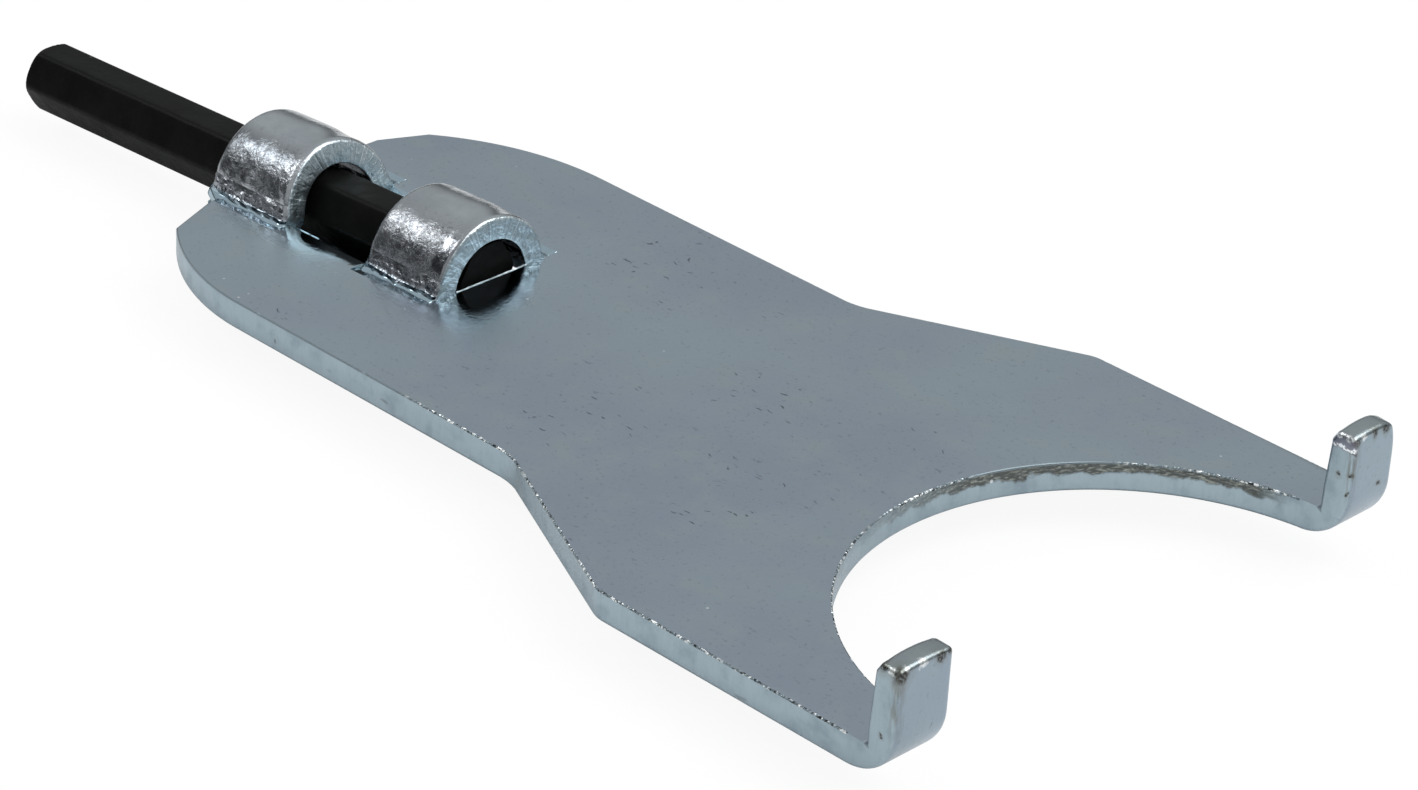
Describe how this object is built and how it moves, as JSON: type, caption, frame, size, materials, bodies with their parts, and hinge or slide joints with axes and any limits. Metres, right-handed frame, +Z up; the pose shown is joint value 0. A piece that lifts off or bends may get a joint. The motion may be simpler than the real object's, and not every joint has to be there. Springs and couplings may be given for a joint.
{
  "type": "hydrant spanner wrench",
  "caption": "Flat zinc-plated steel fork wrench with upturned lugs and a black hex bar held in a lanced and formed passage at its tail",
  "frame": {"origin": "middle of the whole tool in plan, at the height of the trough's underside", "axes": "+X along the tool towards the fork, +Y to the left lug, +Z up through the plate, the way the lugs and loops stand"},
  "size_m": [0.2278, 0.1016, 0.0232],
  "materials": {
    "zinc_plate": "satin clear zinc plating over sheared and formed plate",
    "black_oxide": "satin black oxide, oiled"
  },
  "bodies": {
    "plate": {"spanner_plate": "zinc_plate"},
    "bar": {"hex_bar": "black_oxide"}
  },
  "joints": [
    {"name": "hex_bar_slide", "type": "slide", "parent": "plate", "child": "bar", "axis": [0.9989, 0.0401, 0.0244], "range_m": [-0.045, 0]}
  ]
}
